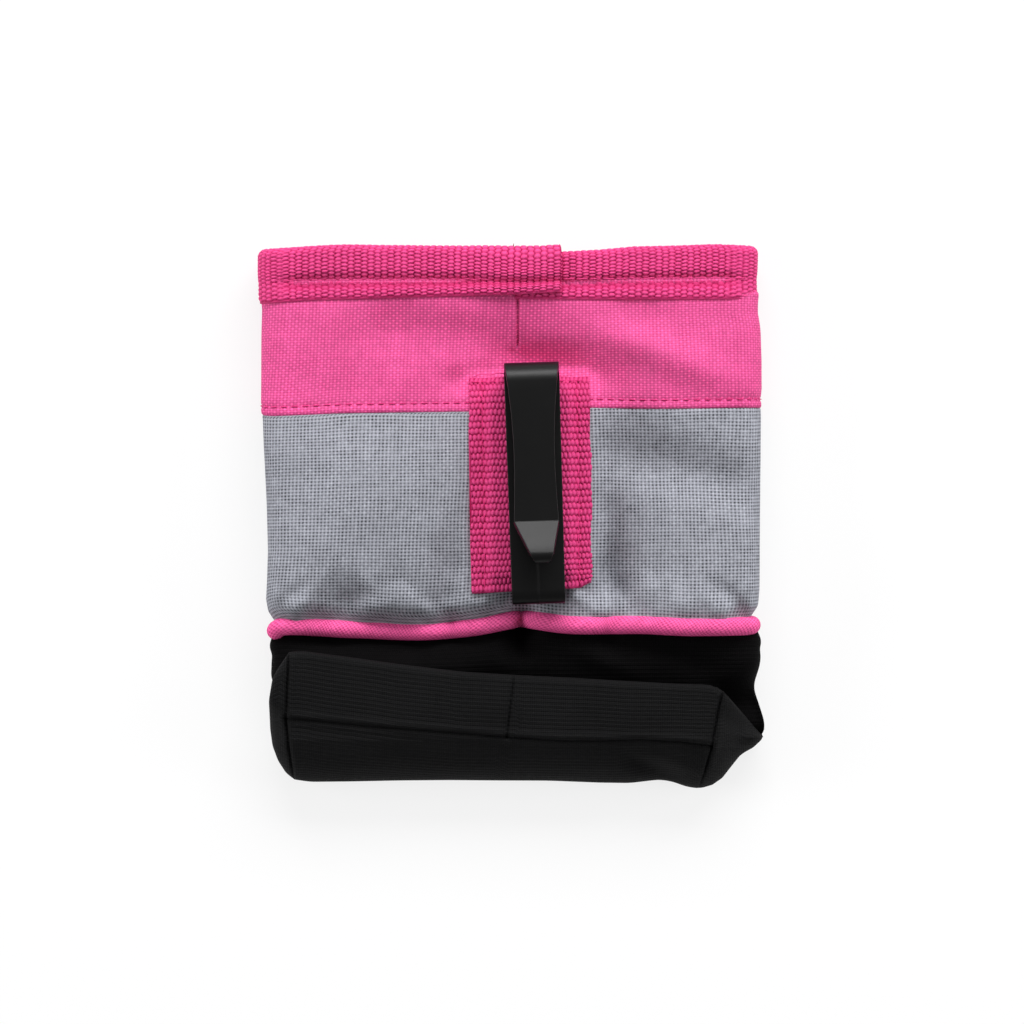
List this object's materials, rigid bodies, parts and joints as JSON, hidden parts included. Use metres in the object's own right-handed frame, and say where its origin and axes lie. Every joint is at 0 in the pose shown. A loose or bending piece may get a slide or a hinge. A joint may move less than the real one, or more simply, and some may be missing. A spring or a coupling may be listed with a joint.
{
  "type": "treat pouch",
  "caption": "Flat fabric treat pouch with webbing rim, piped seam, fold-up boxed base and a sprung plastic belt clip on a back patch.",
  "frame": {"origin": "centre of the footprint of the pouch lying on its front, on the surface it lies on", "axes": "+X across the pouch, +Y towards the mouth, +Z out of the back, where the belt clip is"},
  "size_m": [0.1254, 0.136, 0.0369],
  "materials": {
    "pink_fabric": "plain woven polyester",
    "pink_webbing": "ribbed woven webbing",
    "pink_piping": "woven bias cover",
    "grey_fabric": "plain woven polyester",
    "black_fabric": "fine matte woven",
    "lining_fabric": "smooth thin lining",
    "black_plastic": "satin moulded"
  },
  "bodies": {
    "pouch": {"upper_band": "pink_fabric", "grey_body_panel": "grey_fabric", "base_piping": "pink_piping", "black_base_section": "black_fabric", "lining_bag": "lining_fabric", "rim_binding_front": "pink_webbing", "clip_patch": "pink_webbing"},
    "mouth_lip": {"upper_band_mouth_lip": "pink_fabric", "lining_mouth_lip": "lining_fabric", "rim_binding_back": "pink_webbing"},
    "belt_clip": {"belt_clip_loop": "black_plastic"},
    "clip_arm": {"belt_clip_arm": "black_plastic"}
  },
  "joints": [
    {"name": "mouth_opening", "type": "hinge", "parent": "pouch", "child": "mouth_lip", "pos_m": [0, 0.042, 0.01562], "axis": [1, 0, 0], "range_deg": [0, 25], "stiffness_Nm_per_rad": 0.02},
    {"name": "clip_play", "type": "slide", "parent": "pouch", "child": "belt_clip", "axis": [-0.0314, 0.9976, -0.0623], "range_m": [-0.0004, 0.0009]},
    {"name": "clip_arm_flex", "type": "hinge", "parent": "belt_clip", "child": "clip_arm", "pos_m": [0.0055, 0.03213, 0.02927], "axis": [-0.9995, -0.0313, 0.002], "range_deg": [0, 12], "stiffness_Nm_per_rad": 3}
  ]
}
